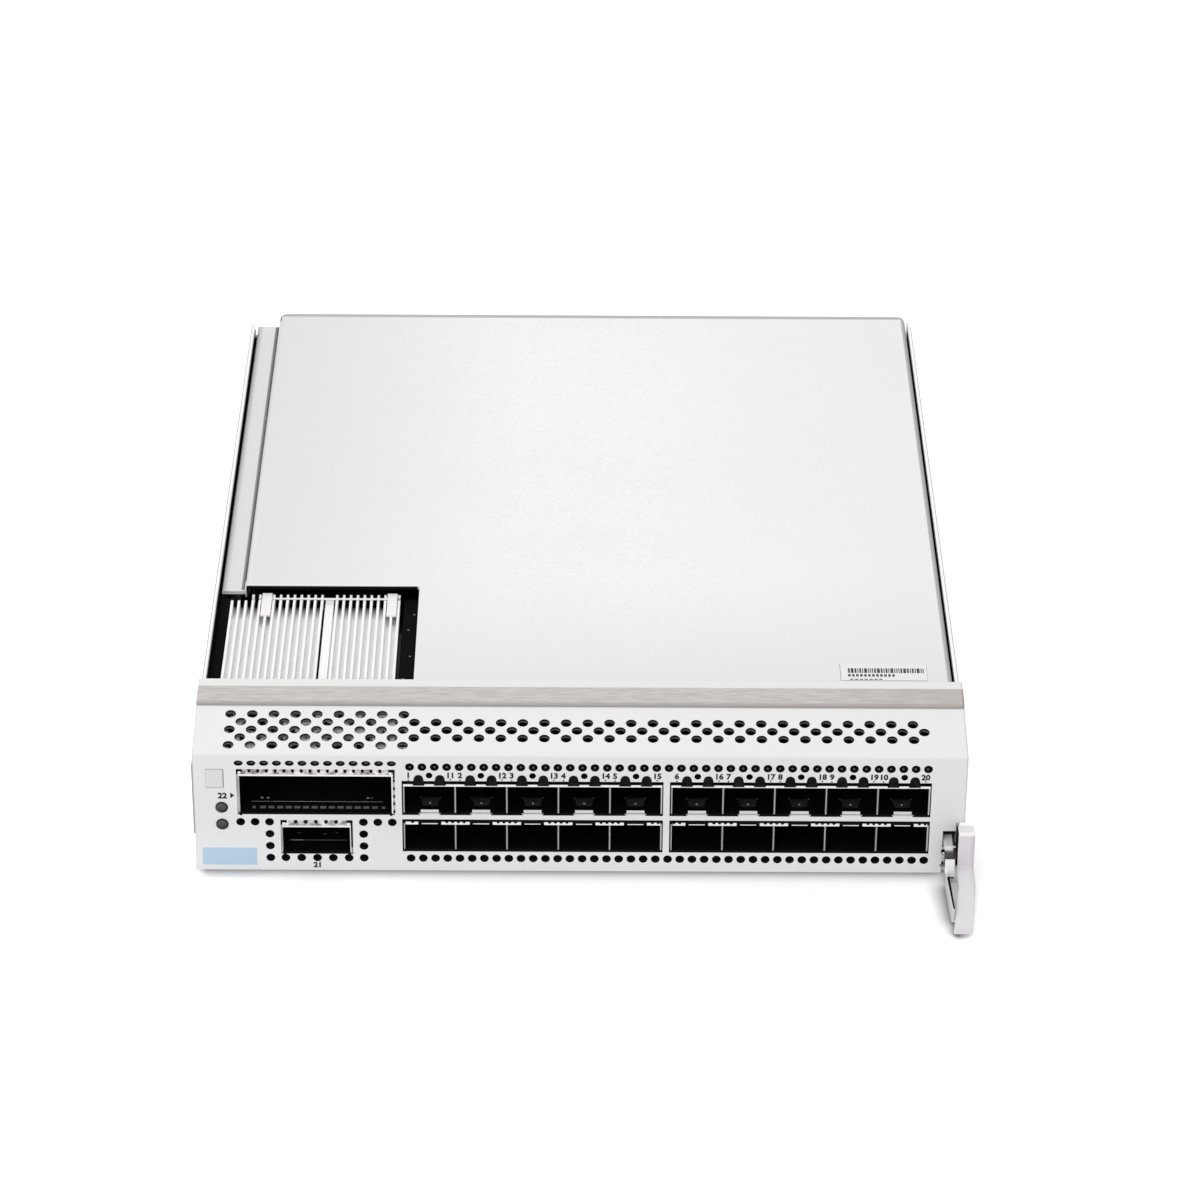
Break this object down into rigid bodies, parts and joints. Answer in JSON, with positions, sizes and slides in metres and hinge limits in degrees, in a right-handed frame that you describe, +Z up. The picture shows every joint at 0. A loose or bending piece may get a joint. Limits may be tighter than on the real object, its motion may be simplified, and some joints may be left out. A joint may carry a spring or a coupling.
{
  "type": "muxponder card",
  "caption": "Flat plug-in transport card: perforated folded faceplate with rows of pluggable ports, a windowed cover over a riding heat sink and a side ejector lever.",
  "frame": {"origin": "centre of the pan's underside, half way along the card without its lever", "axes": "+X to the right seen from the front, +Y back into the chassis, +Z up"},
  "size_m": [0.2165, 0.2885, 0.044],
  "materials": {
    "panel": "fine satin paint",
    "zinc_sheet": "matt zinc",
    "gasket": "woven",
    "board": "solder mask",
    "steel": "plain",
    "cage": "tinned",
    "black_plastic": "moulded",
    "heat_sink": "extruded",
    "light_pipe": "clear moulded",
    "lever": "satin"
  },
  "bodies": {
    "card": {"faceplate": "panel", "base_pan": "zinc_sheet", "top_cover": "zinc_sheet", "top_gasket": "gasket", "side_gasket": "gasket", "main_board": "board", "board_standoffs": "steel", "board_screws": "steel", "sfp_cage_upper_left": "cage", "sfp_cage_upper_right": "cage", "sfp_cage_lower_left": "cage", "sfp_cage_lower_right": "cage", "sfp_connectors_upper": "black_plastic", "sfp_connectors_lower": "black_plastic", "qsfp_cage": "cage", "qsfp_connector": "black_plastic", "cfp2_cage": "cage", "cfp2_connector": "black_plastic", "heat_sink_retainer": "steel", "port_light_pipes": "light_pipe", "status_light_pipes": "light_pipe", "framer_chip": "black_plastic", "framer_heat_sink": "heat_sink", "power_modules": "black_plastic", "backplane_connectors": "black_plastic", "guide_sockets": "steel", "lever_pin": "steel", "lever_bracket": "steel"},
    "lever": {"ejector_lever": "lever"},
    "leaf": {"release_leaf": "steel"},
    "heat_sink": {"cfp2_heat_sink": "heat_sink", "heat_sink_clip": "steel"}
  },
  "joints": [
    {"name": "ejector_hinge", "type": "hinge", "parent": "card", "child": "lever", "pos_m": [0.107, -0.131, 0.0083], "axis": [-1, 0, 0], "range_deg": [0, 88]},
    {"name": "release_flex", "type": "hinge", "parent": "lever", "child": "leaf", "pos_m": [0.10235, -0.1532, 0.0032], "axis": [0, 0, -1], "range_deg": [0, 1.5], "stiffness_Nm_per_rad": 0.2},
    {"name": "heat_sink_float", "type": "slide", "parent": "card", "child": "heat_sink", "axis": [0, 0, 1], "range_m": [0, 0.0007], "stiffness_N_per_m": 2000, "springref_m": -0.001}
  ]
}
